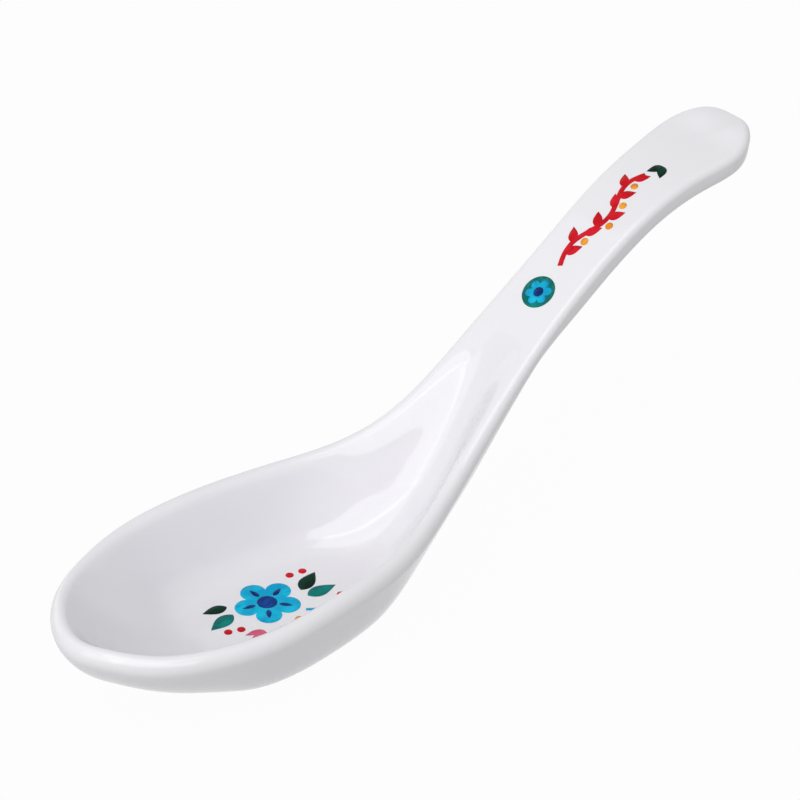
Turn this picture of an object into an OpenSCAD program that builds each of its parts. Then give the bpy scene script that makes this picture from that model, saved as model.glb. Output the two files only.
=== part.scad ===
// A one-piece moulded soup spoon with an oval flat-floored bowl, a channelled
// neck and a flat handle, and the thin ink films printed on its floor and handle.
// All sizes are in millimetres. The bowl tip points to -X, the handle to +X.
// The foot stands on the plane z = 0, with its middle on the origin.

/* [Overall size] */
// Length from the bowl tip to the handle end
spoon_l = 139.5; // [132:0.5:148]
// Width across the widest part of the rim
bowl_w = 40; // [38:0.5:42]
// Height of the handle above the table
spoon_h = 56.5; // [53:0.5:60]

/* [Bowl] */
// Thickness of the flat floor
floor_t = 2.8; // [2.2:0.1:3.4]
// Thickness of the rounded rim
rim_t = 3.2; // [2.8:0.1:3.6]
// Distance from the side of the rim in to the flat floor, over the bowl's width
side_run_share = 0.28; // [0.265:0.0025:0.295]
// Distance from the tip of the rim in to the flat floor, over the spoon's length
tip_run_share = 0.1935; // [0.175:0.0005:0.204]
// Distance from the side of the rim in to the foot's bottom, over the bowl's width
foot_side_run_share = 0.27; // [0.255:0.0025:0.285]
// Distance from the tip of the rim in to the foot's bottom, over the spoon's length
foot_tip_run_share = 0.1865; // [0.17:0.0005:0.197]
// Depth ground flat off the rounded bottom to make the foot
foot_cut = 0.3; // [0.1:0.05:0.5]

/* [Neck and handle] */
// Where the neck channel starts to climb, as a share of the length from the tip
climb_start_share = 0.394; // [0.375:0.001:0.41]
// Where the neck channel meets the handle, as a share of the length from the tip
climb_end_share = 0.645; // [0.635:0.001:0.67]
// Thickness of the handle
handle_t = 4.5; // [4.1:0.1:4.9]
// Radius of the rounding along the handle's top edges
edge_round = 1.2; // [0.9:0.1:1.5]
// Width of the rounding along the handle's bottom edges, over the bowl's width
under_run_share = 0.07; // [0.06:0.0025:0.08]

/* [Prints] */
// Thickness of the ink films
ink_t = 0.1; // [0.06:0.02:0.2]
// Radius of the large flower on the floor, over the bowl's width
flower_r_share = 0.135; // [0.1:0.0025:0.1375]
// Radius of the small flower on the floor, over the bowl's width
bud_r_share = 0.0475; // [0.03:0.0025:0.05]
// Length of the leaves on the floor, over the bowl's width
leaf_l_share = 0.13; // [0.09:0.0025:0.135]
// Width of the leaves on the floor, over the bowl's width
leaf_w_share = 0.065; // [0.04:0.0025:0.07]
// Width of the thin stems on the floor, over the bowl's width
stem_w_share = 0.014; // [0.01:0.001:0.02]
// Radius of the small dots and berries, over the bowl's width
dot_r_share = 0.0165; // [0.01:0.0005:0.018]
// Radius of the round medallion on the handle, over the bowl's width
medal_r_share = 0.0725; // [0.05:0.0025:0.0775]
// Length of the wavy garland on the handle, over the bowl's width
garland_l_share = 0.525; // [0.48:0.005:0.55]

/* [Hidden] */

// Half widths of the outline, as shares of half the bowl width
width_shares = [0, 0.3, 0.635, 0.86, 1.025, 0.99, 0.885, 0.5, 0.366, 0.318, 0.34, 0.375,
    0.45, 0.243, 0];
// Heights of the rim, as shares of the spoon's height
height_shares = [0.29, 0.303, 0.29, 0.288, 0.29, 0.299, 0.289, 0.337, 0.57, 0.75, 0.897,
    0.949, 0.965, 1.002, 0.978];
// Places along the length, as shares of it, between which a value changes over
tip_centre_share = 0.225;
tip_blend_share = 0.085;
end_centre_share = 0.063;
end_blend_share = 0.028;
rim_shares = [0.46, 0.7];
floor_close_shares = [0.36, 0.5];
foot_close_shares = [0.34, 0.53];
foot_open_shares = [0.56, 0.74];
thick_shares = [0.36, 0.54];
// Angles that the rounded edge covers, up on the inside and down on the outside
side_in_angle = 25;
tip_in_angle = 48;
handle_in_angle = 90;
bowl_out_angle = 28;
handle_out_angle = 5;
// Height of the rim's rounding over its width
rim_tall_share = 1.25;
// Largest stretch of the rounding where the edge slopes
stretch_share = 1.4;
// Share of the way to the centre line that the neck's channel and keel reach
centre_share = 0.93;
limit_share = 0.95;
// Pulls of the curves, as shares of the distance they span
wall_pull_share = 0.42;
floor_pull_share = 0.38;
tip_floor_pull_share = 0.2;
neck_pull_share = 0.26;
bowl_side_pull_share = 0.3;
handle_side_pull_share = 0.55;
bowl_foot_pull_share = 0.37;
tip_foot_pull_share = 0.2;
neck_foot_pull_share = 0.18;
handle_foot_pull_share = 0.55;
// Where the middle of the foot is, as a share of the length from the tip
foot_middle_share = 0.3;

stations = 72;
floor_steps = 2;
wall_steps = 8;
edge_steps = 7;
side_steps = 7;
keel_steps = 2;
intervals = len(width_shares) - 1;

function mix(a, b, t) = a + (b - a) * t;
function clip(t) = min(max(t, 0), 1);
function ease(t) = pow(clip(t), 3) * (clip(t) * (6 * clip(t) - 15) + 10);
function fade(x, shares) =
    ease((x / spoon_l - shares[0]) / (shares[1] - shares[0]));
function soft_max(a, b, k) = max(a, b) + pow(max(k - abs(a - b), 0), 2) / (4 * k);
function soft_min(a, b, k) = min(a, b) - pow(max(k - abs(a - b), 0), 2) / (4 * k);

// A smooth curve through a table of shares, mirrored past both ends
function entry(table, i, flip) =
    i < 0 ? flip * table[-i]
    : i > intervals ? flip * table[2 * intervals - i]
    : table[i];
function curve_at(table, t, flip) =
    let (i = min(floor(t), intervals - 1), f = t - i)
    (pow(1 - f, 3) * entry(table, i - 1, flip)
    + (3 * pow(f, 3) - 6 * pow(f, 2) + 4) * entry(table, i, flip)
    + (-3 * pow(f, 3) + 3 * pow(f, 2) + 3 * f + 1) * entry(table, i + 1, flip)
    + pow(f, 3) * entry(table, i + 2, flip)) / 6;

// The outline: x from the tip, half width and rim height
function station_x(u) = spoon_l * (1 - cos(180 * u)) / 2;
function station_u(x) = acos(1 - 2 * clip(x / spoon_l)) / 180;
function half_width(u) = bowl_w / 2 * curve_at(width_shares, u * intervals, -1);
function rim_z(x) = spoon_h * curve_at(height_shares, station_u(x) * intervals, 1);

step_share = 0.002;
function slope_before(x) = rim_z(x) - rim_z(max(x - step_share * spoon_l, 0));
function slope_after(x) = rim_z(min(x + step_share * spoon_l, spoon_l)) - rim_z(x);
function slope_run(x) =
    min(x + step_share * spoon_l, spoon_l) - max(x - step_share * spoon_l, 0);
function rim_slope(x) = (slope_before(x) + slope_after(x)) / slope_run(x);

// The centre line of the top face: flat floor, climbing channel, handle
function climb(x) =
    let (t = clip((x / spoon_l - climb_start_share) / (climb_end_share - climb_start_share)))
    t * t * (3 - 2 * t);
function top_z(x) = mix(floor_t, rim_z(x), climb(x));
function top_slope(x) =
    (top_z(min(x + step_share * spoon_l, spoon_l))
    - top_z(max(x - step_share * spoon_l, 0))) / slope_run(x);

// The centre line of the underside, at the wall's thickness below the top face
function under_z(x) =
    top_z(x) - mix(floor_t + foot_cut, handle_t, fade(x, thick_shares))
    * sqrt(1 + pow(top_slope(x), 2));

function spine_x(x) =
    soft_min(
        soft_max(x, tip_centre_share * spoon_l, tip_blend_share * spoon_l),
        (1 - end_centre_share) * spoon_l, end_blend_share * spoon_l);

// A cubic curve of n steps, from a to d with the pulls b and c
function bend(a, b, c, d, n) = [
    for (i = [0:n])
        let (t = i / n)
        pow(1 - t, 3) * a + 3 * pow(1 - t, 2) * t * b + 3 * (1 - t) * t * t * c
        + pow(t, 3) * d
];
function unit(v) = v / norm(v);

// One section, from the top centre line over the edge to the bottom centre line
function section(u) =
    let (
        x = station_x(u),
        outline = [x, half_width(u)],
        spine = [spine_x(x), 0],
        reach = norm(spine - outline),
        inward = (spine - outline) / reach,
        rim = fade(x, rim_shares),
        ahead = max(inward[0], 0),
        tip = pow(ahead, 2),
        room = reach - tip_centre_share * spoon_l,
        floor_close = fade(x, floor_close_shares),
        foot_close = fade(x, foot_close_shares),
        foot_open = fade(x, foot_open_shares),
        edge_r = mix(rim_t / 2, edge_round, rim),
        edge_h = edge_r * mix(rim_tall_share, 1, rim)
            * min(sqrt(1 + pow(rim_slope(x), 2)), stretch_share),
        in_angle = mix(mix(side_in_angle, tip_in_angle, tip), handle_in_angle, climb(x)),
        out_angle = mix(bowl_out_angle, handle_out_angle, rim),
        neck_run = centre_share * reach,
        in_run = mix(mix(side_run_share * bowl_w, room + tip_run_share * spoon_l, ahead),
            neck_run, floor_close),
        in_d = soft_min(in_run, limit_share * reach, edge_r / 2),
        out_run = mix(
            mix(foot_side_run_share * bowl_w, room + foot_tip_run_share * spoon_l, ahead),
            mix(neck_run, under_run_share * bowl_w, foot_open), foot_close),
        out_d = soft_min(out_run, limit_share * reach, edge_r / 2),
        edge_z = rim_z(x) - edge_h,
        in_x = outline[0] + inward[0] * in_d,
        out_x = outline[0] + inward[0] * out_d,
        edge = [
            for (i = [0:edge_steps])
                let (a = mix(180 - in_angle, -out_angle, i / edge_steps))
                [edge_r * (1 - cos(a)), edge_z + edge_h * sin(a)]
        ],
        in_dir = unit([edge_r * sin(in_angle), -edge_h * cos(in_angle)]),
        out_dir = unit([edge_r * sin(out_angle), -edge_h * cos(out_angle)]),
        wall_foot = [in_d, top_z(in_x)],
        wall_top = edge[0],
        wall_span = norm(wall_top - wall_foot),
        neck = floor_close * (1 - rim),
        floor_pull = mix(mix(floor_pull_share, tip_floor_pull_share, tip), neck_pull_share,
            neck),
        wall_pull = mix(wall_pull_share, neck_pull_share, neck),
        wall = bend(
            wall_foot,
            wall_foot + floor_pull * wall_span
                * unit([-1, -top_slope(in_x) * inward[0]]),
            wall_top + wall_pull * wall_span * in_dir,
            wall_top, wall_steps),
        side_top = edge[edge_steps],
        side_foot = [out_d, under_z(out_x)],
        side_span = norm(side_top - side_foot),
        foot_pull = mix(
            mix(bowl_foot_pull_share, tip_foot_pull_share, tip),
            mix(neck_foot_pull_share, handle_foot_pull_share, foot_open), foot_close),
        under_slope = (under_z(out_x + step_share * spoon_l)
            - under_z(out_x - step_share * spoon_l)) / (2 * step_share * spoon_l),
        side = bend(
            side_top,
            side_top + mix(bowl_side_pull_share, handle_side_pull_share, rim)
                * side_span * out_dir,
            side_foot + foot_pull * side_span * unit([-1, -under_slope * inward[0]]),
            side_foot, side_steps)
    )
    [
        for (i = [0:floor_steps - 1])
            let (d = mix(reach, in_d, i / floor_steps), p = outline + inward * d)
            [p[0], p[1], top_z(p[0])],
        for (i = [0:wall_steps - 1])
            let (p = outline + inward * wall[i][0]) [p[0], p[1], wall[i][1]],
        for (i = [0:edge_steps - 1])
            let (p = outline + inward * edge[i][0]) [p[0], p[1], edge[i][1]],
        for (i = [0:side_steps - 1])
            let (p = outline + inward * side[i][0]) [p[0], p[1], side[i][1]],
        for (i = [0:keel_steps])
            let (d = mix(out_d, reach, i / keel_steps), p = outline + inward * d)
            [p[0], p[1], under_z(p[0])]
    ];

foot_x = foot_middle_share * spoon_l;
shape = [for (i = [0:stations]) section(i / stations)];
last = len(shape[0]) - 1;
loop = 2 * stations;

// Number of the section that a place round the outline uses, and its side
function at_section(k) = k <= stations ? k : loop - k;
function at_side(k) = k <= stations ? 1 : -1;
// The centre points come first, then the points of every place round the outline
function point_index(k, j) =
    let (kk = k % loop)
    j == 0 ? at_section(kk)
    : j == last ? stations + 1 + at_section(kk)
    : 2 * (stations + 1) + kk * (last - 1) + j - 1;

module spoon_shell() {
    polyhedron(
        points = [
            for (i = [0:stations]) [shape[i][0][0] - foot_x, 0, shape[i][0][2]],
            for (i = [0:stations]) [shape[i][last][0] - foot_x, 0, shape[i][last][2]],
            for (k = [0:loop - 1])
                for (j = [1:last - 1])
                    let (p = shape[at_section(k)][j])
                    [p[0] - foot_x, at_side(k) * p[1], p[2]]
        ],
        faces = [
            for (k = [0:loop - 1])
                for (j = [0:last - 1])
                    for (half = [0, 1])
                        let (
                            a = point_index(k, j),
                            b = point_index(k + 1, j),
                            c = point_index(k + 1, j + 1),
                            d = point_index(k, j + 1)
                        )
                        half == 0 ? [a, b, c] : [a, c, d]
        ]
    );
}

module below_table() {
    translate([-spoon_l, -bowl_w, -spoon_h])
        cube([2 * spoon_l, 2 * bowl_w, spoon_h]);
}

module spoon_body() {
    color("white")
        difference() {
            spoon_shell();
            below_table();
        }
}

// Sizes of the prints
flower_r = flower_r_share * bowl_w;
bud_r = bud_r_share * bowl_w;
leaf_l = leaf_l_share * bowl_w;
leaf_w = leaf_w_share * bowl_w;
stem_w = stem_w_share * bowl_w;
dot_r = dot_r_share * bowl_w;
medal_r = medal_r_share * bowl_w;
garland_l = garland_l_share * bowl_w;

// Flat figures for the prints, as lists of points
figure_steps = 48;
leaf_steps = 10;
petal_dip_share = 0.42;
petal_power = 0.6;
leaf_bulge_power = 0.75;
function turned(p, a) = [p[0] * cos(a) - p[1] * sin(a), p[0] * sin(a) + p[1] * cos(a)];
function placed(points, at, a) = [for (p = points) at + turned(p, a)];
function round_figure(r) =
    [for (i = [0:figure_steps - 1]) let (a = 360 * i / figure_steps) r * [cos(a), sin(a)]];
function flower_figure(r, petals) = [
    for (i = [0:2 * figure_steps - 1])
        let (
            a = 180 * i / figure_steps,
            dip = 1 - pow(abs(cos(petals * a / 2)), petal_power)
        )
        r * (1 - petal_dip_share * dip) * [cos(a), sin(a)]
];
function leaf_edge(l, w, t) = [l * t, w / 2 * sin(180 * pow(t, leaf_bulge_power))];
function leaf_figure(l, w) = concat(
    [for (i = [0:leaf_steps]) leaf_edge(l, w, i / leaf_steps)],
    [for (i = [leaf_steps - 1:-1:1]) leaf_edge(l, -w, i / leaf_steps)]
);
// One edge of a stem that bends through an angle, r from the bend's centre
function arc_edge(r, bend_r, a) = [r * sin(a), bend_r - r * cos(a)];
function arc_figure(bend_r, angle) = concat(
    [for (i = [0:leaf_steps])
        arc_edge(bend_r + stem_w / 2, bend_r, angle * i / leaf_steps)],
    [for (i = [leaf_steps:-1:0])
        arc_edge(bend_r - stem_w / 2, bend_r, angle * i / leaf_steps)]
);

// Prints on the floor, placed by shares of the bowl's width from the print's middle
print_middle_share = 0.29;
module floor_film() {
    translate([-foot_x, 0, floor_t]) linear_extrude(ink_t) children();
}
function floor_place(shares) = [print_middle_share * spoon_l, 0] + shares * bowl_w;
module floor_leaf(place_shares, l, w, a) {
    polygon(placed(leaf_figure(l, w), floor_place(place_shares), a));
}

flower_shares = [0, 0.06];
flower_petals = 5;
flower_turn = 20;
heart_share = 0.3;
mark_l_share = 0.42;
mark_w_share = 0.16;
mark_from_share = 0.36;
tendril_shares = [0.087, -0.075];
tendril_turn = -45;
tendril_angle = 50;
tendril_r_share = 1.2;
curl_shares = [-0.056, -0.1];
curl_turn = 235;
curl_angle = 50;
curl_r_share = 0.7;
bud_shares = [0.018, -0.135];
fan_shares = [-0.125, -0.07];
fan_turns = [165, 200, 235];
fan_l_shares = [0.6, 0.8, 0.7];
fan_w_share = 0.45;
dots_shares = [[0.181, 0.14], [0.237, 0.128], [0.255, -0.09], [-0.237, 0.01],
    [-0.188, -0.01]];
tip_teal_shares = [-0.153, 0.085];
tip_teal_turn = 190;
tip_green_shares = [-0.14, 0.14];
tip_green_turn = 165;
tip_green_l_share = 0.8;
neck_teal_shares = [0.15, -0.01];
neck_teal_turn = -8;
neck_green_shares = [0.153, 0.035];
neck_green_turn = 25;

module flower_outline() {
    polygon(placed(flower_figure(flower_r, flower_petals), floor_place(flower_shares),
        flower_turn));
}

module flower_marks() {
    polygon(placed(round_figure(heart_share * flower_r), floor_place(flower_shares), 0));
    for (i = [0:flower_petals - 1])
        let (a = flower_turn + 360 * i / flower_petals)
        polygon(placed(
            leaf_figure(mark_l_share * flower_r, mark_w_share * flower_r),
            floor_place(flower_shares) + mark_from_share * flower_r * [cos(a), sin(a)], a));
}

module bowl_print_cyan() {
    color([0.1, 0.68, 0.84]) floor_film() {
        difference() {
            flower_outline();
            flower_marks();
        }
        polygon(placed(arc_figure(tendril_r_share * leaf_l, tendril_angle),
            floor_place(tendril_shares), tendril_turn));
        polygon(placed(arc_figure(curl_r_share * leaf_l, curl_angle),
            floor_place(curl_shares), curl_turn));
    }
}

module bowl_print_navy() {
    color([0.08, 0.13, 0.42]) floor_film() flower_marks();
}

module bowl_print_pink() {
    color([0.85, 0.35, 0.45]) floor_film()
        for (i = [0:len(fan_turns) - 1])
            floor_leaf(fan_shares, fan_l_shares[i] * leaf_l, fan_w_share * leaf_w,
                fan_turns[i]);
}

module bowl_print_red() {
    color([0.78, 0.08, 0.12]) floor_film()
        for (shares = dots_shares)
            polygon(placed(round_figure(dot_r), floor_place(shares), 0));
}

module bowl_print_orange() {
    color([0.95, 0.6, 0.12]) floor_film()
        polygon(placed(flower_figure(bud_r, flower_petals), floor_place(bud_shares), 0));
}

module bowl_print_teal() {
    color([0.03, 0.5, 0.47]) floor_film() {
        floor_leaf(tip_teal_shares, leaf_l, leaf_w, tip_teal_turn);
        floor_leaf(neck_teal_shares, leaf_l, leaf_w, neck_teal_turn);
    }
}

module bowl_print_green() {
    color([0.03, 0.27, 0.18]) floor_film() {
        floor_leaf(tip_green_shares, tip_green_l_share * leaf_l,
            tip_green_l_share * leaf_w, tip_green_turn);
        floor_leaf(neck_green_shares, leaf_l, leaf_w, neck_green_turn);
    }
}

// Prints on the handle: a film over the top face, cut to a figure's outline
function climb_run(x) = 1 / sqrt(1 + pow(top_slope(x), 2));
// A figure given along the slope at x, seen from straight above
function laid(points, x) = [for (p = points) [x + p[0] * climb_run(x), p[1]]];

film_from_share = 0.6;
film_to_share = 0.92;
film_x = [
    for (i = [0:stations])
        let (x = station_x(i / stations))
        if (x > film_from_share * spoon_l && x < film_to_share * spoon_l) x
];

module handle_film() {
    translate([-foot_x, 0, 0])
        intersection() {
            translate([0, bowl_w, 0])
                rotate([90, 0, 0])
                    linear_extrude(2 * bowl_w)
                        polygon(concat(
                            [for (x = film_x) [x, top_z(x)]],
                            [for (i = [len(film_x) - 1:-1:0])
                                [film_x[i], top_z(film_x[i]) + ink_t]]));
            linear_extrude(2 * spoon_h) children();
        }
}

medal_share = 0.685;
medal_petals = 6;
medal_flower_share = 0.8;
medal_heart_share = 0.3;
garland_share = 0.718;
garland_waves = 1.5;
garland_steps = 36;
garland_step = 1 / garland_steps;
garland_w_share = 0.043;
garland_swing_share = 0.052;
sprigs = 9;
sprig_turn = 40;
sprig_l_share = 0.143;
sprig_w_share = 0.55;
berry_places = [0.25, 0.45, 0.65, 0.85];
berry_gap_share = 2.2;
end_place = 1.16;
end_turns = [150, 210];

medal_x = medal_share * spoon_l;
garland_x = garland_share * spoon_l;
garland_w = garland_w_share * garland_l;
sprig_l = sprig_l_share * garland_l;
// The garland's centre line, from t = 0 at the neck to t = 1
function garland_at(t) =
    [garland_l * t, garland_swing_share * garland_l * sin(360 * garland_waves * t)];
function garland_normal(t) =
    let (d = garland_at(t + garland_step) - garland_at(t - garland_step))
    [-d[1], d[0]] / norm(d);
function garland_edge(i, side) =
    garland_at(i * garland_step)
    + side * garland_w / 2 * garland_normal(i * garland_step);
garland_band = concat(
    [for (i = [0:garland_steps]) garland_edge(i, 1)],
    [for (i = [garland_steps:-1:0]) garland_edge(i, -1)]
);
// A figure of the garland, seen from straight above
module garland_figure(points) {
    polygon([
        for (p = points) [garland_x + p[0] * climb_run(garland_x + garland_l / 2), p[1]]
    ]);
}

module medal_flower() {
    polygon(laid(flower_figure(medal_flower_share * medal_r, medal_petals), medal_x));
}

module medal_heart() {
    polygon(laid(round_figure(medal_heart_share * medal_r), medal_x));
}

module handle_print_red() {
    color([0.78, 0.08, 0.12]) handle_film() {
        garland_figure(garland_band);
        for (i = [1:sprigs])
            let (side = i % 2 == 0 ? 1 : -1)
            garland_figure(placed(leaf_figure(sprig_l, sprig_w_share * sprig_l),
                garland_at(i / (sprigs + 1)), side * sprig_turn));
    }
}

module handle_print_teal() {
    color([0.03, 0.5, 0.47]) handle_film()
        difference() {
            polygon(laid(round_figure(medal_r), medal_x));
            medal_flower();
        }
}

module handle_print_cyan() {
    color([0.1, 0.68, 0.84]) handle_film()
        difference() {
            medal_flower();
            medal_heart();
        }
}

module handle_print_navy() {
    color([0.08, 0.13, 0.42]) handle_film() medal_heart();
}

module handle_print_orange() {
    color([0.95, 0.6, 0.12]) handle_film()
        for (t = berry_places)
            garland_figure(placed(round_figure(dot_r),
                garland_at(t) - [0, berry_gap_share * dot_r], 0));
}

module handle_print_green() {
    color([0.03, 0.27, 0.18]) handle_film()
        for (a = end_turns)
            garland_figure(placed(leaf_figure(sprig_l, sprig_w_share * sprig_l),
                garland_at(end_place), a));
}

spoon_body();
bowl_print_cyan();
bowl_print_navy();
bowl_print_pink();
bowl_print_red();
bowl_print_orange();
bowl_print_teal();
bowl_print_green();
handle_print_red();
handle_print_teal();
handle_print_cyan();
handle_print_navy();
handle_print_orange();
handle_print_green();
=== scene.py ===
"""A one-piece moulded soup spoon, white and glossy, with small prints in the bowl
and on the handle. Metres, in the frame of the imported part: the bowl tip points to -X,
the handle to +X, and the foot stands on z = 0."""

import math

import bmesh
import bpy
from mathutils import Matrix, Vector
from mathutils.geometry import delaunay_2d_cdt


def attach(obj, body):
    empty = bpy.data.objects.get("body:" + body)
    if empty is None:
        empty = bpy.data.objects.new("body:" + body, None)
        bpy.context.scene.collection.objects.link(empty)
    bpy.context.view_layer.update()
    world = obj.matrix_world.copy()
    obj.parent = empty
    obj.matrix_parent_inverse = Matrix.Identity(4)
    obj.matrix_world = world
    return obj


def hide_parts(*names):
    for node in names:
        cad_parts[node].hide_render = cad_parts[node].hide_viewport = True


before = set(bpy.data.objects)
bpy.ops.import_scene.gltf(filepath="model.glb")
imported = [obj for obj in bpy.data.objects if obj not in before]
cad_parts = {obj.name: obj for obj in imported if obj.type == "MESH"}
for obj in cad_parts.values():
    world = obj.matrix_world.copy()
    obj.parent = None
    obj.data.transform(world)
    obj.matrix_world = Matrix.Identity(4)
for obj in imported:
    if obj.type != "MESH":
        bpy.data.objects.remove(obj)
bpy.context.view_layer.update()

MM = 0.001

# The moulding: the same sizes and shares as the part's source
SPOON_L = 139.5 * MM
BOWL_W = 40 * MM
SPOON_H = 56.5 * MM
FLOOR_T = 2.8 * MM
RIM_T = 3.2 * MM
SIDE_RUN = 0.28 * BOWL_W
TIP_RUN = 0.1935 * SPOON_L
FOOT_SIDE_RUN = 0.27 * BOWL_W
FOOT_TIP_RUN = 0.1865 * SPOON_L
FOOT_CUT = 0.3 * MM
CLIMB_START = 0.394 * SPOON_L
CLIMB_END = 0.645 * SPOON_L
HANDLE_T = 4.5 * MM
EDGE_ROUND = 1.2 * MM
UNDER_RUN = 0.07 * BOWL_W

# Half widths and rim heights, from the tip to the handle's end
WIDTH_SHARES = (0, 0.3, 0.635, 0.86, 1.025, 0.99, 0.885, 0.5, 0.366, 0.318, 0.34, 0.375,
                0.45, 0.243, 0)
HEIGHT_SHARES = (0.29, 0.303, 0.29, 0.288, 0.29, 0.299, 0.289, 0.337, 0.57, 0.75, 0.897,
                 0.949, 0.965, 1.002, 0.978)
INTERVALS = len(WIDTH_SHARES) - 1
TIP_CENTRE_SHARE = 0.225
TIP_BLEND_SHARE = 0.085
END_CENTRE_SHARE = 0.063
END_BLEND_SHARE = 0.028
RIM_SHARES = (0.46, 0.7)
FLOOR_CLOSE_SHARES = (0.36, 0.5)
FOOT_CLOSE_SHARES = (0.34, 0.53)
FOOT_OPEN_SHARES = (0.56, 0.74)
THICK_SHARES = (0.36, 0.54)
SIDE_IN_ANGLE = 25
TIP_IN_ANGLE = 48
HANDLE_IN_ANGLE = 90
BOWL_OUT_ANGLE = 28
HANDLE_OUT_ANGLE = 5
RIM_TALL_SHARE = 1.25
STRETCH_SHARE = 1.4
CENTRE_SHARE = 0.93
LIMIT_SHARE = 0.95
WALL_PULL_SHARE = 0.42
FLOOR_PULL_SHARE = 0.38
TIP_FLOOR_PULL_SHARE = 0.2
NECK_PULL_SHARE = 0.26
BOWL_SIDE_PULL_SHARE = 0.3
HANDLE_SIDE_PULL_SHARE = 0.55
BOWL_FOOT_PULL_SHARE = 0.37
TIP_FOOT_PULL_SHARE = 0.2
NECK_FOOT_PULL_SHARE = 0.18
HANDLE_FOOT_PULL_SHARE = 0.55
FOOT_X = 0.3 * SPOON_L
STEP = 0.002 * SPOON_L

# Finer than the part's own faces, so that reflections run smoothly over the glaze
STATIONS = 180
FLOOR_STEPS = 6
WALL_STEPS = 22
EDGE_STEPS = 18
SIDE_STEPS = 20
KEEL_STEPS = 6
WELD = 0.0005 * MM


def mix(a, b, t):
    return a + (b - a) * t


def clip(t):
    return min(max(t, 0.0), 1.0)


def ease(t):
    t = clip(t)
    return t ** 3 * (t * (6 * t - 15) + 10)


def fade(x, shares):
    return ease((x / SPOON_L - shares[0]) / (shares[1] - shares[0]))


def soft_max(a, b, k):
    return max(a, b) + max(k - abs(a - b), 0) ** 2 / (4 * k)


def soft_min(a, b, k):
    return min(a, b) - max(k - abs(a - b), 0) ** 2 / (4 * k)


def entry(table, i, flip):
    if i < 0:
        return flip * table[-i]
    if i > INTERVALS:
        return flip * table[2 * INTERVALS - i]
    return table[i]


def curve_at(table, t, flip):
    """A smooth curve through a table of shares, mirrored past both ends."""
    i = min(int(math.floor(t)), INTERVALS - 1)
    f = t - i
    return ((1 - f) ** 3 * entry(table, i - 1, flip)
            + (3 * f ** 3 - 6 * f ** 2 + 4) * entry(table, i, flip)
            + (-3 * f ** 3 + 3 * f ** 2 + 3 * f + 1) * entry(table, i + 1, flip)
            + f ** 3 * entry(table, i + 2, flip)) / 6


def station_x(u):
    return SPOON_L * (1 - math.cos(math.pi * u)) / 2


def station_u(x):
    return math.acos(1 - 2 * clip(x / SPOON_L)) / math.pi


def half_width(u):
    return BOWL_W / 2 * curve_at(WIDTH_SHARES, u * INTERVALS, -1)


def rim_z(x):
    return SPOON_H * curve_at(HEIGHT_SHARES, station_u(x) * INTERVALS, 1)


def slope(height, x):
    before, after = max(x - STEP, 0), min(x + STEP, SPOON_L)
    return (height(after) - height(before)) / (after - before)


def climb(x):
    t = clip((x - CLIMB_START) / (CLIMB_END - CLIMB_START))
    return t * t * (3 - 2 * t)


def top_z(x):
    """Height of the top face's centre line: flat floor, climbing channel, handle."""
    return mix(FLOOR_T, rim_z(x), climb(x))


def under_z(x):
    wall = mix(FLOOR_T + FOOT_CUT, HANDLE_T, fade(x, THICK_SHARES))
    return top_z(x) - wall * math.hypot(1, slope(top_z, x))


def spine_x(x):
    return soft_min(
        soft_max(x, TIP_CENTRE_SHARE * SPOON_L, TIP_BLEND_SHARE * SPOON_L),
        (1 - END_CENTRE_SHARE) * SPOON_L, END_BLEND_SHARE * SPOON_L)


def bend(a, b, c, d, n):
    """A cubic curve of n steps, from a to d with the pulls b and c."""
    points = []
    for i in range(n + 1):
        t = i / n
        points.append((1 - t) ** 3 * a + 3 * (1 - t) ** 2 * t * b
                      + 3 * (1 - t) * t * t * c + t ** 3 * d)
    return points


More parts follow.
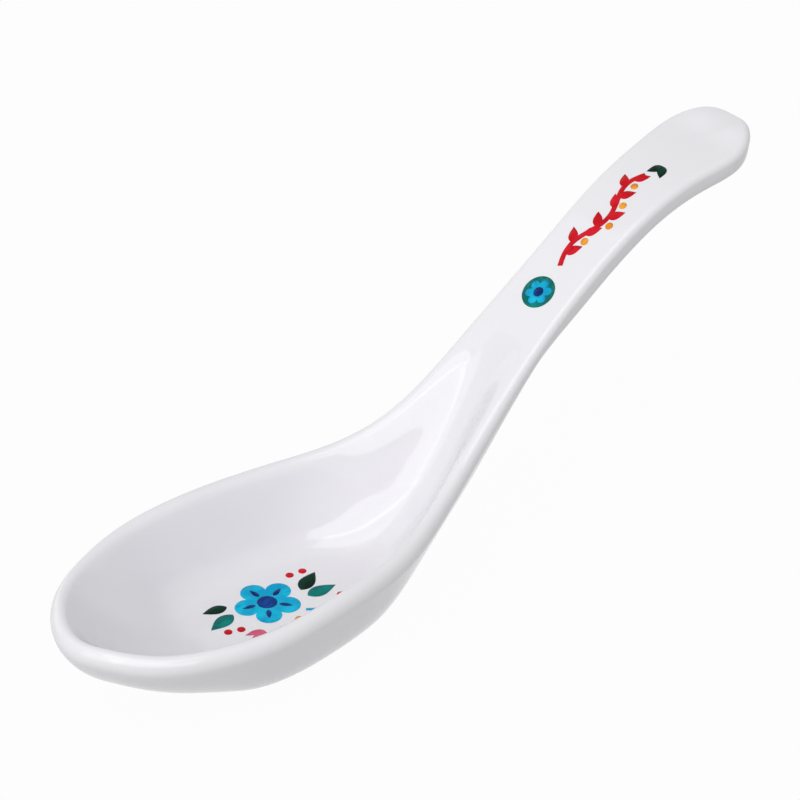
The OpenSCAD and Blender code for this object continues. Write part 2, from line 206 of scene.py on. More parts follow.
def section(u):
    """One section, from the top centre line over the edge to the bottom centre line."""
    x = station_x(u)
    outline = Vector((x, half_width(u)))
    spine = Vector((spine_x(x), 0))
    reach = (spine - outline).length
    inward = (spine - outline) / reach
    rim = fade(x, RIM_SHARES)
    ahead = max(inward.x, 0)
    tip = ahead ** 2
    room = reach - TIP_CENTRE_SHARE * SPOON_L
    floor_close = fade(x, FLOOR_CLOSE_SHARES)
    foot_close, foot_open = fade(x, FOOT_CLOSE_SHARES), fade(x, FOOT_OPEN_SHARES)
    edge_r = mix(RIM_T / 2, EDGE_ROUND, rim)
    rim_stretch = min(math.hypot(1, slope(rim_z, x)), STRETCH_SHARE)
    edge_h = edge_r * mix(RIM_TALL_SHARE, 1, rim) * rim_stretch
    in_angle = math.radians(mix(mix(SIDE_IN_ANGLE, TIP_IN_ANGLE, tip), HANDLE_IN_ANGLE,
                                climb(x)))
    out_angle = math.radians(mix(BOWL_OUT_ANGLE, HANDLE_OUT_ANGLE, rim))
    neck_run = CENTRE_SHARE * reach
    in_run = mix(mix(SIDE_RUN, room + TIP_RUN, ahead), neck_run, floor_close)
    in_d = soft_min(in_run, LIMIT_SHARE * reach, edge_r / 2)
    out_run = mix(mix(FOOT_SIDE_RUN, room + FOOT_TIP_RUN, ahead),
                  mix(neck_run, UNDER_RUN, foot_open), foot_close)
    out_d = soft_min(out_run, LIMIT_SHARE * reach, edge_r / 2)
    edge_z = rim_z(x) - edge_h
    in_x = x + inward.x * in_d
    out_x = x + inward.x * out_d

    edge = []
    for i in range(EDGE_STEPS + 1):
        a = mix(math.pi - in_angle, -out_angle, i / EDGE_STEPS)
        edge.append(Vector((edge_r * (1 - math.cos(a)), edge_z + edge_h * math.sin(a))))
    in_dir = Vector((edge_r * math.sin(in_angle), -edge_h * math.cos(in_angle)))
    out_dir = Vector((edge_r * math.sin(out_angle), -edge_h * math.cos(out_angle)))

    wall_foot = Vector((in_d, top_z(in_x)))
    wall_span = (edge[0] - wall_foot).length
    floor_dir = Vector((-1, -slope(top_z, in_x) * inward.x)).normalized()
    neck = floor_close * (1 - rim)
    floor_pull = mix(mix(FLOOR_PULL_SHARE, TIP_FLOOR_PULL_SHARE, tip), NECK_PULL_SHARE, neck)
    wall_pull = mix(WALL_PULL_SHARE, NECK_PULL_SHARE, neck)
    wall = bend(
        wall_foot,
        wall_foot + floor_pull * wall_span * floor_dir,
        edge[0] + wall_pull * wall_span * in_dir.normalized(),
        edge[0], WALL_STEPS)

    side_foot = Vector((out_d, under_z(out_x)))
    side_span = (edge[-1] - side_foot).length
    foot_pull = mix(mix(BOWL_FOOT_PULL_SHARE, TIP_FOOT_PULL_SHARE, tip),
                    mix(NECK_FOOT_PULL_SHARE, HANDLE_FOOT_PULL_SHARE, foot_open),
                    foot_close)
    side_pull = mix(BOWL_SIDE_PULL_SHARE, HANDLE_SIDE_PULL_SHARE, rim)
    keel_dir = Vector((-1, -slope(under_z, out_x) * inward.x)).normalized()
    side = bend(
        edge[-1],
        edge[-1] + side_pull * side_span * out_dir.normalized(),
        side_foot + foot_pull * side_span * keel_dir,
        side_foot, SIDE_STEPS)

    points = []
    for i in range(FLOOR_STEPS):
        p = outline + inward * mix(reach, in_d, i / FLOOR_STEPS)
        points.append((p.x, p.y, top_z(p.x)))
    for curve in (wall[:-1], edge[:-1], side[:-1]):
        for d, z in curve:
            p = outline + inward * d
            points.append((p.x, p.y, z))
    for i in range(KEEL_STEPS + 1):
        p = outline + inward * mix(out_d, reach, i / KEEL_STEPS)
        points.append((p.x, p.y, under_z(p.x)))
    return points


def add_piece(name, bm, smooth=True):
    for face in bm.faces:
        face.smooth = smooth
    mesh = bpy.data.meshes.new(name)
    bm.to_mesh(mesh)
    bm.free()
    piece = bpy.data.objects.new(name, mesh)
    bpy.context.scene.collection.objects.link(piece)
    return piece


def mould_spoon():
    """The whole moulding as one closed skin, with its foot ground flat at z = 0."""
    bm = bmesh.new()
    shape = [section(i / STATIONS) for i in range(STATIONS + 1)]
    rings = []
    for k in range(2 * STATIONS):
        half = shape[k] if k <= STATIONS else shape[2 * STATIONS - k]
        hand = 1 if k <= STATIONS else -1
        rings.append([bm.verts.new((x - FOOT_X, hand * y, z)) for x, y, z in half])
    for k, ring in enumerate(rings):
        after = rings[(k + 1) % len(rings)]
        for j in range(len(ring) - 1):
            bm.faces.new((ring[j], after[j], after[j + 1], ring[j + 1]))
    bmesh.ops.remove_doubles(bm, verts=bm.verts, dist=WELD)
    bmesh.ops.dissolve_degenerate(bm, edges=bm.edges, dist=WELD)
    cut = bmesh.ops.bisect_plane(
        bm, geom=bm.verts[:] + bm.edges[:] + bm.faces[:], dist=WELD,
        plane_co=(0, 0, 0), plane_no=(0, 0, -1), clear_outer=True)
    foot_edge = [e for e in cut["geom_cut"] if isinstance(e, bmesh.types.BMEdge)]
    foot = bmesh.ops.contextual_create(bm, geom=foot_edge)["faces"]
    for edge in foot_edge:
        edge.smooth = False
    bmesh.ops.triangulate(bm, faces=foot)
    bmesh.ops.recalc_face_normals(bm, faces=bm.faces)
    return add_piece("spoon_moulding", bm)


# The prints: flat figures cut from a fine grid and laid on the moulding
INK_T = 0.05 * MM
INK_SINK = 0.02 * MM
GRID = 0.5 * MM
FIGURE_STEPS = 96
LEAF_STEPS = 20
FOLD_ANGLE = 30

FLOWER_R = 0.135 * BOWL_W
BUD_R = 0.0475 * BOWL_W
LEAF_L = 0.13 * BOWL_W
LEAF_W = 0.065 * BOWL_W
STEM_W = 0.014 * BOWL_W
DOT_R = 0.0165 * BOWL_W
MEDAL_R = 0.0725 * BOWL_W
GARLAND_L = 0.525 * BOWL_W

PETAL_DIP_SHARE = 0.42
PETAL_POWER = 0.6
LEAF_BULGE_POWER = 0.75
FLOWER_PETALS = 5
FLOWER_TURN = 20
HEART_SHARE = 0.3
MARK_L_SHARE = 0.42
MARK_W_SHARE = 0.16
MARK_FROM_SHARE = 0.36
FAN_TURNS = (165, 200, 235)
FAN_L_SHARES = (0.6, 0.8, 0.7)
FAN_W_SHARE = 0.45
TENDRIL_TURN, TENDRIL_ANGLE, TENDRIL_R_SHARE = -45, 50, 1.2
CURL_TURN, CURL_ANGLE, CURL_R_SHARE = 235, 50, 0.7
TIP_TEAL_TURN, NECK_TEAL_TURN = 190, -8
TIP_GREEN_TURN, TIP_GREEN_L_SHARE, NECK_GREEN_TURN = 165, 0.8, 25
# Places on the floor, as shares of the bowl's width from the print's middle
PRINT_MIDDLE = Vector((0.29 * SPOON_L, 0))
FLOWER_SHARES = (0, 0.06)
TENDRIL_SHARES = (0.087, -0.075)
CURL_SHARES = (-0.056, -0.1)
BUD_SHARES = (0.018, -0.135)
FAN_SHARES = (-0.125, -0.07)
DOTS_SHARES = ((0.181, 0.14), (0.237, 0.128), (0.255, -0.09), (-0.237, 0.01),
               (-0.188, -0.01))
TIP_TEAL_SHARES = (-0.153, 0.085)
TIP_GREEN_SHARES = (-0.14, 0.14)
NECK_TEAL_SHARES = (0.15, -0.01)
NECK_GREEN_SHARES = (0.153, 0.035)

MEDAL_X = 0.685 * SPOON_L
MEDAL_PETALS = 6
MEDAL_FLOWER_SHARE = 0.8
MEDAL_HEART_SHARE = 0.3
GARLAND_X = 0.718 * SPOON_L
GARLAND_WAVES = 1.5
GARLAND_STEPS = 72
GARLAND_W = 0.043 * GARLAND_L
GARLAND_SWING = 0.052 * GARLAND_L
SPRIGS = 9
SPRIG_TURN = 40
SPRIG_L = 0.143 * GARLAND_L
SPRIG_W_SHARE = 0.55
BERRY_PLACES = (0.25, 0.45, 0.65, 0.85)
BERRY_GAP_SHARE = 2.2
END_PLACE = 1.16
END_TURNS = (150, 210)


def polar(r, degrees):
    return Vector((r * math.cos(math.radians(degrees)), r * math.sin(math.radians(degrees))))


def turned(p, degrees):
    a = math.radians(degrees)
    return Vector((p[0] * math.cos(a) - p[1] * math.sin(a),
                   p[0] * math.sin(a) + p[1] * math.cos(a)))


def placed(points, at, degrees=0):
    return [at + turned(p, degrees) for p in points]


def round_figure(r):
    return [polar(r, 360 * i / FIGURE_STEPS) for i in range(FIGURE_STEPS)]


def flower_figure(r, petals):
    points = []
    for i in range(2 * FIGURE_STEPS):
        degrees = 180 * i / FIGURE_STEPS
        crest = abs(math.cos(math.radians(petals * degrees / 2))) ** PETAL_POWER
        points.append(polar(r * (1 - PETAL_DIP_SHARE * (1 - crest)), degrees))
    return points


def leaf_figure(length, width):
    def edge(t, hand):
        return Vector((length * t,
                       hand * width / 2 * math.sin(math.pi * t ** LEAF_BULGE_POWER)))
    there = [edge(i / LEAF_STEPS, 1) for i in range(LEAF_STEPS + 1)]
    back = [edge(i / LEAF_STEPS, -1) for i in range(LEAF_STEPS - 1, 0, -1)]
    return there + back


def arc_figure(bend_r, degrees):
    def edge(r, a):
        a = math.radians(a)
        return Vector((r * math.sin(a), bend_r - r * math.cos(a)))
    there = [edge(bend_r + STEM_W / 2, degrees * i / LEAF_STEPS)
             for i in range(LEAF_STEPS + 1)]
    back = [edge(bend_r - STEM_W / 2, degrees * i / LEAF_STEPS)
            for i in range(LEAF_STEPS, -1, -1)]
    return there + back


def floor_place(shares):
    return PRINT_MIDDLE + Vector(shares) * BOWL_W


def floor_leaf(shares, length, width, degrees):
    return placed(leaf_figure(length, width), floor_place(shares), degrees)


def climb_run(x):
    return 1 / math.hypot(1, slope(top_z, x))


def laid(points, x):
    return [Vector((x + p[0] * climb_run(x), p[1])) for p in points]


def garland_at(t):
    """The garland's centre line, laid flat, from t = 0 at the neck to t = 1."""
    return Vector((GARLAND_L * t, GARLAND_SWING * math.sin(2 * math.pi * GARLAND_WAVES * t)))


def garland_figure(points):
    """A figure of the garland, seen from straight above."""
    run = climb_run(GARLAND_X + GARLAND_L / 2)
    return [Vector((GARLAND_X + p.x * run, p.y)) for p in points]


def garland_band():
    def edge(i, hand):
        t, step = i / GARLAND_STEPS, 1 / GARLAND_STEPS
        along = (garland_at(t + step) - garland_at(t - step)).normalized()
        return garland_at(t) + hand * GARLAND_W / 2 * Vector((-along.y, along.x))
    there = [edge(i, 1) for i in range(GARLAND_STEPS + 1)]
    back = [edge(i, -1) for i in range(GARLAND_STEPS, -1, -1)]
    return there + back


def flower_marks():
    centre = floor_place(FLOWER_SHARES)
    marks = [placed(round_figure(HEART_SHARE * FLOWER_R), centre)]
    for i in range(FLOWER_PETALS):
        a = FLOWER_TURN + 360 * i / FLOWER_PETALS
        marks.append(placed(leaf_figure(MARK_L_SHARE * FLOWER_R, MARK_W_SHARE * FLOWER_R),
                            centre + polar(MARK_FROM_SHARE * FLOWER_R, a), a))
    return marks


def figures_of_prints():
    """For each ink film, its outlines and the outlines cut out of them."""
    flower = placed(flower_figure(FLOWER_R, FLOWER_PETALS), floor_place(FLOWER_SHARES),
                    FLOWER_TURN)
    tendril = placed(arc_figure(TENDRIL_R_SHARE * LEAF_L, TENDRIL_ANGLE),
                     floor_place(TENDRIL_SHARES), TENDRIL_TURN)
    curl = placed(arc_figure(CURL_R_SHARE * LEAF_L, CURL_ANGLE),
                  floor_place(CURL_SHARES), CURL_TURN)
    fan = [floor_leaf(FAN_SHARES, share * LEAF_L, FAN_W_SHARE * LEAF_W, a)
           for share, a in zip(FAN_L_SHARES, FAN_TURNS)]
    dots = [placed(round_figure(DOT_R), floor_place(shares)) for shares in DOTS_SHARES]
    bud = placed(flower_figure(BUD_R, FLOWER_PETALS), floor_place(BUD_SHARES))
    teal = [floor_leaf(TIP_TEAL_SHARES, LEAF_L, LEAF_W, TIP_TEAL_TURN),
            floor_leaf(NECK_TEAL_SHARES, LEAF_L, LEAF_W, NECK_TEAL_TURN)]
    green = [floor_leaf(TIP_GREEN_SHARES, TIP_GREEN_L_SHARE * LEAF_L,
                        TIP_GREEN_L_SHARE * LEAF_W, TIP_GREEN_TURN),
             floor_leaf(NECK_GREEN_SHARES, LEAF_L, LEAF_W, NECK_GREEN_TURN)]

    medal = laid(round_figure(MEDAL_R), MEDAL_X)
    medal_flower = laid(flower_figure(MEDAL_FLOWER_SHARE * MEDAL_R, MEDAL_PETALS), MEDAL_X)
    medal_heart = laid(round_figure(MEDAL_HEART_SHARE * MEDAL_R), MEDAL_X)
    sprig = leaf_figure(SPRIG_L, SPRIG_W_SHARE * SPRIG_L)
    sprigs = [placed(sprig, garland_at(i / (SPRIGS + 1)), SPRIG_TURN * (-1) ** i)
              for i in range(1, SPRIGS + 1)]
    berries = [placed(round_figure(DOT_R),
                      garland_at(t) - Vector((0, BERRY_GAP_SHARE * DOT_R)))
               for t in BERRY_PLACES]
    end_leaves = [placed(sprig, garland_at(END_PLACE), a) for a in END_TURNS]
    return {
        "bowl_print_cyan": ([flower, tendril, curl], flower_marks()),
        "bowl_print_navy": (flower_marks(), []),
        "bowl_print_pink": (fan, []),
        "bowl_print_red": (dots, []),
        "bowl_print_orange": ([bud], []),
        "bowl_print_teal": (teal, []),
        "bowl_print_green": (green, []),
        "handle_print_red": ([garland_figure(f) for f in [garland_band()] + sprigs], []),
        "handle_print_teal": ([medal], [medal_flower]),
        "handle_print_cyan": ([medal_flower], [medal_heart]),
        "handle_print_navy": ([medal_heart], []),
        "handle_print_orange": ([garland_figure(f) for f in berries], []),
        "handle_print_green": ([garland_figure(f) for f in end_leaves], []),
    }


def inside(p, outline):
    """Whether a point lies inside a closed outline."""
    within = False
    for a, b in zip(outline, outline[1:] + outline[:1]):
        if (a.y > p.y) != (b.y > p.y):
            if p.x < a.x + (p.y - a.y) / (b.y - a.y) * (b.x - a.x):
                within = not within
    return within


def flat_mesh(outlines, cuts):
    """Corners and faces of the flat figure, with a fine grid so that it can be bent."""
    points, edges = [], []
    for outline in outlines + cuts:
        first, count = len(points), len(outline)
        points.extend(outline)
        edges.extend((first + i, first + (i + 1) % count) for i in range(count))
    low = Vector((min(p.x for p in points), min(p.y for p in points)))
    high = Vector((max(p.x for p in points), max(p.y for p in points)))
    for i in range(1, int((high.x - low.x) / GRID)):
        for j in range(1, int((high.y - low.y) / GRID)):
            points.append(low + Vector((i, j)) * GRID)
    verts, _, faces, *_ = delaunay_2d_cdt(points, edges, [], 0, WELD)
    kept = []
    for face in faces:
        middle = sum((Vector(verts[i]) for i in face), Vector((0, 0))) / len(face)
        printed = any(inside(middle, outline) for outline in outlines)
        if printed and not any(inside(middle, cut) for cut in cuts):
            kept.append(tuple(face))
    return verts, kept


def print_film(name, outlines, cuts):
    """A thin closed film over the top face, in the shape of the outlines."""
    verts, faces = flat_mesh(outlines, cuts)
    bm = bmesh.new()
    tops, bottoms = {}, {}

    def corner(store, i, lift):
        if i not in store:
            x, y = verts[i]
            store[i] = bm.verts.new((x - FOOT_X, y, top_z(x) + lift))
        return store[i]

    sides = {}
    for face in faces:
        bm.faces.new([corner(tops, i, INK_T) for i in face])
        bm.faces.new([corner(bottoms, i, -INK_SINK) for i in reversed(face)])
        for a, b in zip(face, face[1:] + face[:1]):
            if (b, a) in sides:
                del sides[(b, a)]
            else:
                sides[(a, b)] = True
    for a, b in sides:
        bm.faces.new((tops[a], bottoms[a], bottoms[b], tops[b]))
    fold = math.radians(FOLD_ANGLE)
    for edge in bm.edges:
        edge.smooth = len(edge.link_faces) == 2 and edge.calc_face_angle(0) < fold
    bmesh.ops.recalc_face_normals(bm, faces=bm.faces)
    return add_piece(name, bm)


# The materials: glossy white melamine and seven inks
MELAMINE_LIGHT = (0.815, 0.805, 0.835, 1)
MELAMINE_DEEP = (0.79, 0.78, 0.815, 1)
MELAMINE_IOR = 1.6
MELAMINE_BUMP = 0.15
MELAMINE_ROUGHNESS = 0.035
MELAMINE_SPREAD = 0.03
INK_IOR = 1.5
INK_SHINE = 0.05
INK_BUMP = 0.1
INK_ROUGHNESS = 0.12
INK_SPREAD = 0.08
INKS = {
    # name: light tone, deep tone
    "cyan": ((0.008, 0.51, 0.75, 1), (0.003, 0.34, 0.6, 1)),
    "navy": ((0.008, 0.06, 0.3, 1), (0.003, 0.025, 0.15, 1)),
    "pink": ((0.74, 0.15, 0.24, 1), (0.62, 0.09, 0.16, 1)),
    "red": ((0.66, 0.012, 0.024, 1), (0.54, 0.006, 0.014, 1)),
    "orange": ((0.9, 0.38, 0.035, 1), (0.8, 0.25, 0.015, 1)),
    "teal": ((0.005, 0.23, 0.2, 1), (0.002, 0.14, 0.13, 1)),
    "green": ((0.004, 0.045, 0.026, 1), (0.002, 0.018, 0.01, 1)),
}
WHITE = (1, 1, 1, 1)
BLACK = (0, 0, 0, 1)

# Marks of the press: noise scale per metre, detail, and how strong the finer detail is
PRESS_WAVES = (14, 2, 0.45)
PRESS_PORES = (700, 3, 0.6)
PRESS_CLOUD = (90, 4, 0.5)
PORE_DEPTH_SHARE = 0.03
MARK_DEPTH = 0.1 * MM
# The foot is rubbed dull below these heights: where it starts, and where it is full
RUB_STARTS = 0.25 * MM
RUB_FULL = 0.05 * MM
FOOT_RUB = 0.3
# Deeper tones in the ink, and the noise values between which they set in
INK_PATCHES = (320, 2, 0.5)
INK_STROKES = (900, 2, 0.5)
STROKE_STRETCH = (0.35, 1, 1)
PATCH_SETS_IN = (0.4, 0.62)
STROKE_SETS_IN = (0.52, 0.68)
# Colour sockets of Blender's Mix node
MIX_A = 6
MIX_B = 7
MIX_RESULT = 2


def add_node(tree, kind, inputs=None, **settings):
    node = tree.nodes.new(kind)
    for key, value in settings.items():
        setattr(node, key, value)
    for key, value in (inputs or {}).items():
        node.inputs[key].default_value = value
    return node


def add_noise(tree, place, marks):
    """Noise over the given place, from (scale, detail, strength of the finer detail)."""
    scale, detail, finer = marks
    noise = add_node(tree, "ShaderNodeTexNoise",
                     {"Scale": scale, "Detail": detail, "Roughness": finer})
    tree.links.new(place, noise.inputs["Vector"])
    return noise


def add_sum(tree, factor, times, plus):
    """A factor times a value plus another. Each of the last two is a link or a number."""
    node = add_node(tree, "ShaderNodeMath", operation="MULTIPLY_ADD")
    for socket, value in zip(node.inputs, (factor, times, plus)):
        if isinstance(value, bpy.types.NodeSocket):
            tree.links.new(value, socket)
        else:
            socket.default_value = value
    return node.outputs[0]


def new_group(name, inputs, outputs):
    """A shader node group. Inputs are (kind, name, value), outputs (kind, name)."""
    tree = bpy.data.node_groups.new(name, "ShaderNodeTree")
    for kind, label, value in inputs:
        socket = tree.interface.new_socket(label, in_out="INPUT", socket_type=kind)
        socket.default_value = value
    for kind, label in outputs:
        tree.interface.new_socket(label, in_out="OUTPUT", socket_type=kind)
    return tree, tree.nodes.new("NodeGroupInput"), tree.nodes.new("NodeGroupOutput")


def glaze_group():
    """The press finish: broad soft waves, fine pores, faint clouds and a rubbed foot."""
    tree, given, out = new_group(
        "press_glaze",
        [("NodeSocketFloat", "Base Roughness", MELAMINE_ROUGHNESS),
         ("NodeSocketFloat", "Roughness Spread", MELAMINE_SPREAD),
         ("NodeSocketFloat", "Foot Rub", FOOT_RUB)],
        [("NodeSocketFloat", "Cloud"), ("NodeSocketFloat", "Roughness"),
         ("NodeSocketFloat", "Height")])
    place = add_node(tree, "ShaderNodeTexCoord").outputs["Object"]
    waves = add_noise(tree, place, PRESS_WAVES)
    pores = add_noise(tree, place, PRESS_PORES)
    cloud = add_noise(tree, place, PRESS_CLOUD)
    split = add_node(tree, "ShaderNodeSeparateXYZ")
    foot = add_node(tree, "ShaderNodeMapRange", {"From Min": RUB_STARTS, "From Max": RUB_FULL})
    tree.links.new(place, split.inputs["Vector"])
    tree.links.new(split.outputs["Z"], foot.inputs["Value"])
    spread = add_sum(tree, pores.outputs["Fac"], given.outputs["Roughness Spread"],
                     given.outputs["Base Roughness"])
    rubbed = add_sum(tree, foot.outputs["Result"], given.outputs["Foot Rub"], spread)
    height = add_sum(tree, pores.outputs["Fac"], PORE_DEPTH_SHARE, waves.outputs["Fac"])
    tree.links.new(cloud.outputs["Fac"], out.inputs["Cloud"])
    tree.links.new(rubbed, out.inputs["Roughness"])
    tree.links.new(height, out.inputs["Height"])
    return tree


def ink_group():
    """The tone of an ink: soft patches and short strokes of a deeper one."""
    tree, given, out = new_group(
        "ink_tone",
        [("NodeSocketColor", "Light", WHITE), ("NodeSocketColor", "Deep", BLACK)],
        [("NodeSocketColor", "Color")])
    place = add_node(tree, "ShaderNodeTexCoord").outputs["Object"]
    stretch = add_node(tree, "ShaderNodeMapping", {"Scale": STROKE_STRETCH})
    tree.links.new(place, stretch.inputs["Vector"])
    deeper = add_node(tree, "ShaderNodeMath", operation="MAXIMUM")
    for socket, where, marks, sets_in in (
            (deeper.inputs[0], place, INK_PATCHES, PATCH_SETS_IN),
            (deeper.inputs[1], stretch.outputs["Vector"], INK_STROKES, STROKE_SETS_IN)):
        noise = add_noise(tree, where, marks)
        mask = add_node(tree, "ShaderNodeMapRange",
                        {"From Min": sets_in[0], "From Max": sets_in[1]})
        tree.links.new(noise.outputs["Fac"], mask.inputs["Value"])
        tree.links.new(mask.outputs["Result"], socket)
    blend = add_node(tree, "ShaderNodeMix", data_type="RGBA")
    tree.links.new(deeper.outputs[0], blend.inputs["Factor"])
    tree.links.new(given.outputs["Light"], blend.inputs[MIX_A])
    tree.links.new(given.outputs["Deep"], blend.inputs[MIX_B])
    tree.links.new(blend.outputs[MIX_RESULT], out.inputs["Color"])
    return tree


def new_material(name, ior):
    material = bpy.data.materials.new(name)
    material.use_nodes = True
    tree = material.node_tree
    shader = tree.nodes["Principled BSDF"]
    shader.inputs["IOR"].default_value = ior
    return material, tree, shader


def place_glaze(tree, shader, glaze, bump_strength, **values):
    """The shared glaze, with this material's own values, on roughness and bump."""
    marks = add_node(tree, "ShaderNodeGroup", node_tree=glaze)
    for key, value in values.items():
        marks.inputs[key.replace("_", " ").title()].default_value = value
    bump = add_node(tree, "ShaderNodeBump",
                    {"Strength": bump_strength, "Distance": MARK_DEPTH})
    tree.links.new(marks.outputs["Height"], bump.inputs["Height"])
    tree.links.new(marks.outputs["Roughness"], shader.inputs["Roughness"])
    tree.links.new(bump.outputs["Normal"], shader.inputs["Normal"])
    return marks


def melamine_material(glaze):
    material, tree, shader = new_material("melamine_white", MELAMINE_IOR)
    marks = place_glaze(tree, shader, glaze, MELAMINE_BUMP,
                        base_roughness=MELAMINE_ROUGHNESS, roughness_spread=MELAMINE_SPREAD,
                        foot_rub=FOOT_RUB)
    cloud = add_node(tree, "ShaderNodeMix", {MIX_A: MELAMINE_LIGHT, MIX_B: MELAMINE_DEEP},
                     data_type="RGBA")
    tree.links.new(marks.outputs["Cloud"], cloud.inputs["Factor"])
    tree.links.new(cloud.outputs[MIX_RESULT], shader.inputs["Base Color"])
    return material


def ink_material(name, light, deep, glaze, tone):
    material, tree, shader = new_material("ink_" + name, INK_IOR)
    shader.inputs["Specular IOR Level"].default_value = INK_SHINE
    place_glaze(tree, shader, glaze, INK_BUMP,
                base_roughness=INK_ROUGHNESS, roughness_spread=INK_SPREAD, foot_rub=0)
    ink = add_node(tree, "ShaderNodeGroup", {"Light": light, "Deep": deep}, node_tree=tone)
    tree.links.new(ink.outputs["Color"], shader.inputs["Base Color"])
    return material


# The studio: a pale floor, a white surround and soft lamps
FLOOR_SIZE = 6.0
FLOOR_WHITE = 0.45
WHITE_SHARE = 0.97
WORLD_LIGHT = 0.5
SOFTBOXES = {
    # name: azimuth, elevation, distance, width, height, radiance
    "key_softbox": (-136, 28, 1.1, 1.1, 0.65, 1.4),
    "left_softbox": (-178, 22, 1.1, 0.85, 0.7, 0.85),
    "high_softbox": (-150, 60, 1.1, 0.9, 0.8, 1.4),
    "rear_softbox": (95, 18, 1.1, 0.85, 0.7, 0.45),
    "back_softbox": (138, 60, 1.1, 0.9, 0.8, 0.4),
}


def rays_that_see(tree):
    """1 for the rays that show the background itself, so that gloss shows it too."""
    path = add_node(tree, "ShaderNodeLightPath")
    direct = add_node(tree, "ShaderNodeMath", operation="MAXIMUM")
    seen = add_node(tree, "ShaderNodeMath", operation="MAXIMUM")
    tree.links.new(path.outputs["Is Camera Ray"], direct.inputs[0])
    tree.links.new(path.outputs["Is Glossy Ray"], direct.inputs[1])
    tree.links.new(direct.outputs[0], seen.inputs[0])
    tree.links.new(path.outputs["Is Transmission Ray"], seen.inputs[1])
    return seen


def studio_floor():
    """A pale floor that the camera sees as white, with the spoon's soft shadow."""
    bm = bmesh.new()
    half = FLOOR_SIZE / 2
    bm.faces.new([bm.verts.new((x, y, -INK_SINK))
                  for x, y in ((-half, -half), (half, -half), (half, half), (-half, half))])
    floor = add_piece("studio_floor", bm, smooth=False)
    material = bpy.data.materials.new("floor_paper")
    material.use_nodes = True
    tree = material.node_tree
    tree.nodes.remove(tree.nodes["Principled BSDF"])
    paper = add_node(tree, "ShaderNodeBsdfDiffuse",
                     {"Color": (FLOOR_WHITE, FLOOR_WHITE, FLOOR_WHITE, 1)})
    white = add_node(tree, "ShaderNodeEmission", {"Color": WHITE, "Strength": 1})
    seen = rays_that_see(tree)
    share = add_node(tree, "ShaderNodeMath", {1: WHITE_SHARE}, operation="MULTIPLY")
    both = add_node(tree, "ShaderNodeMixShader")
    tree.links.new(seen.outputs[0], share.inputs[0])
    tree.links.new(share.outputs[0], both.inputs["Fac"])
    tree.links.new(paper.outputs[0], both.inputs[1])
    tree.links.new(white.outputs[0], both.inputs[2])
    tree.links.new(both.outputs[0], tree.nodes["Material Output"].inputs["Surface"])
    floor.data.materials.append(material)


def studio_world():
    """An even light on the spoon from all round, and plain white where it is seen."""
    world = bpy.data.worlds.new("studio_white")
    world.use_nodes = True
    tree = world.node_tree
    light = tree.nodes["Background"]
    light.inputs["Color"].default_value = WHITE
    light.inputs["Strength"].default_value = WORLD_LIGHT
    white = add_node(tree, "ShaderNodeBackground", {"Color": WHITE, "Strength": 1})
    seen = rays_that_see(tree)
    both = add_node(tree, "ShaderNodeMixShader")
    tree.links.new(seen.outputs[0], both.inputs["Fac"])
    tree.links.new(light.outputs[0], both.inputs[1])
    tree.links.new(white.outputs[0], both.inputs[2])
    tree.links.new(both.outputs[0], tree.nodes["World Output"].inputs["Surface"])
    bpy.context.scene.world = world


def direction(azimuth, elevation):
    """From the spoon's middle outwards, with the azimuth counted from +X."""
    a, e = math.radians(azimuth), math.radians(elevation)
    return Vector((math.cos(a) * math.cos(e), math.sin(a) * math.cos(e), math.sin(e)))


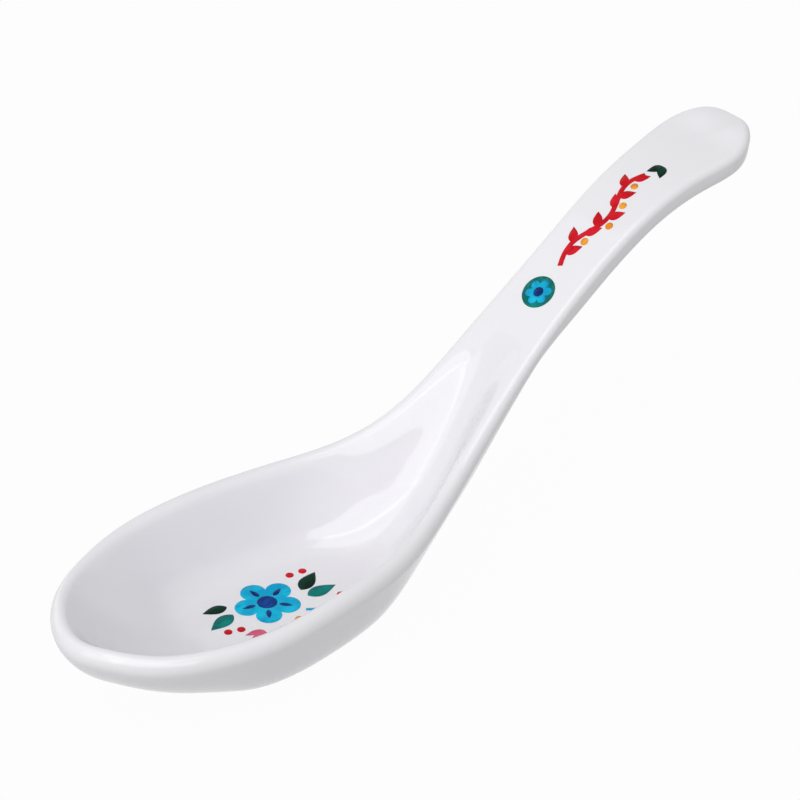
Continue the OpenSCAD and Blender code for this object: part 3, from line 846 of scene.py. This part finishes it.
def add_softbox(name, azimuth, elevation, distance, width, height, radiance):
    """A flat oblong lamp that faces the spoon's middle."""
    lamp = bpy.data.lights.new(name, "AREA")
    lamp.shape = "RECTANGLE"
    lamp.size, lamp.size_y = width, height
    lamp.energy = radiance * math.pi * width * height
    box = bpy.data.objects.new(name, lamp)
    box.location = SPOON_MIDDLE + distance * direction(azimuth, elevation)
    box.rotation_euler = (box.location - SPOON_MIDDLE).to_track_quat("Z", "Y").to_euler()
    box.visible_camera = False
    bpy.context.scene.collection.objects.link(box)


# The camera, fitted to the photo
PHOTO_SIZE = 800
FOCAL_PIXELS = 3550
SENSOR_WIDTH = 36.0
CAMERA_AZIMUTH = -131
CAMERA_ELEVATION = 34.4
CAMERA_DISTANCE = 560 * MM
SPOON_MIDDLE = Vector((23.15, 0, 25)) * MM
# Where the spoon's middle lies in the photo
MIDDLE_PIXEL = (394.4, 435.3)
CLIP_START = 10 * MM


def add_camera():
    data = bpy.data.cameras.new("photo_camera")
    data.sensor_width = SENSOR_WIDTH
    data.lens = FOCAL_PIXELS / PHOTO_SIZE * SENSOR_WIDTH
    data.shift_x = (PHOTO_SIZE / 2 - MIDDLE_PIXEL[0]) / PHOTO_SIZE
    data.shift_y = (MIDDLE_PIXEL[1] - PHOTO_SIZE / 2) / PHOTO_SIZE
    data.clip_start = CLIP_START
    camera = bpy.data.objects.new("photo_camera", data)
    back = direction(CAMERA_AZIMUTH, CAMERA_ELEVATION)
    camera.location = SPOON_MIDDLE + CAMERA_DISTANCE * back
    camera.rotation_euler = back.to_track_quat("Z", "Y").to_euler()
    bpy.context.scene.collection.objects.link(camera)
    bpy.context.scene.camera = camera


# The whole scene put together
glaze = glaze_group()
tone = ink_group()
ink_materials = {name: ink_material(name, light, deep, glaze, tone)
                 for name, (light, deep) in INKS.items()}

moulding = mould_spoon()
moulding.data.materials.append(melamine_material(glaze))
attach(moulding, "root")
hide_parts("spoon_body")

for node, (outlines, cuts) in figures_of_prints().items():
    colour = node.rsplit("_", 1)[1]
    film = print_film(node.replace("print", "transfer"), outlines, cuts)
    film.data.materials.append(ink_materials[colour])
    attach(film, "root")
    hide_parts(node)

studio_floor()
studio_world()
for name, values in SOFTBOXES.items():
    add_softbox(name, *values)
add_camera()
bpy.context.scene.view_settings.view_transform = "Standard"
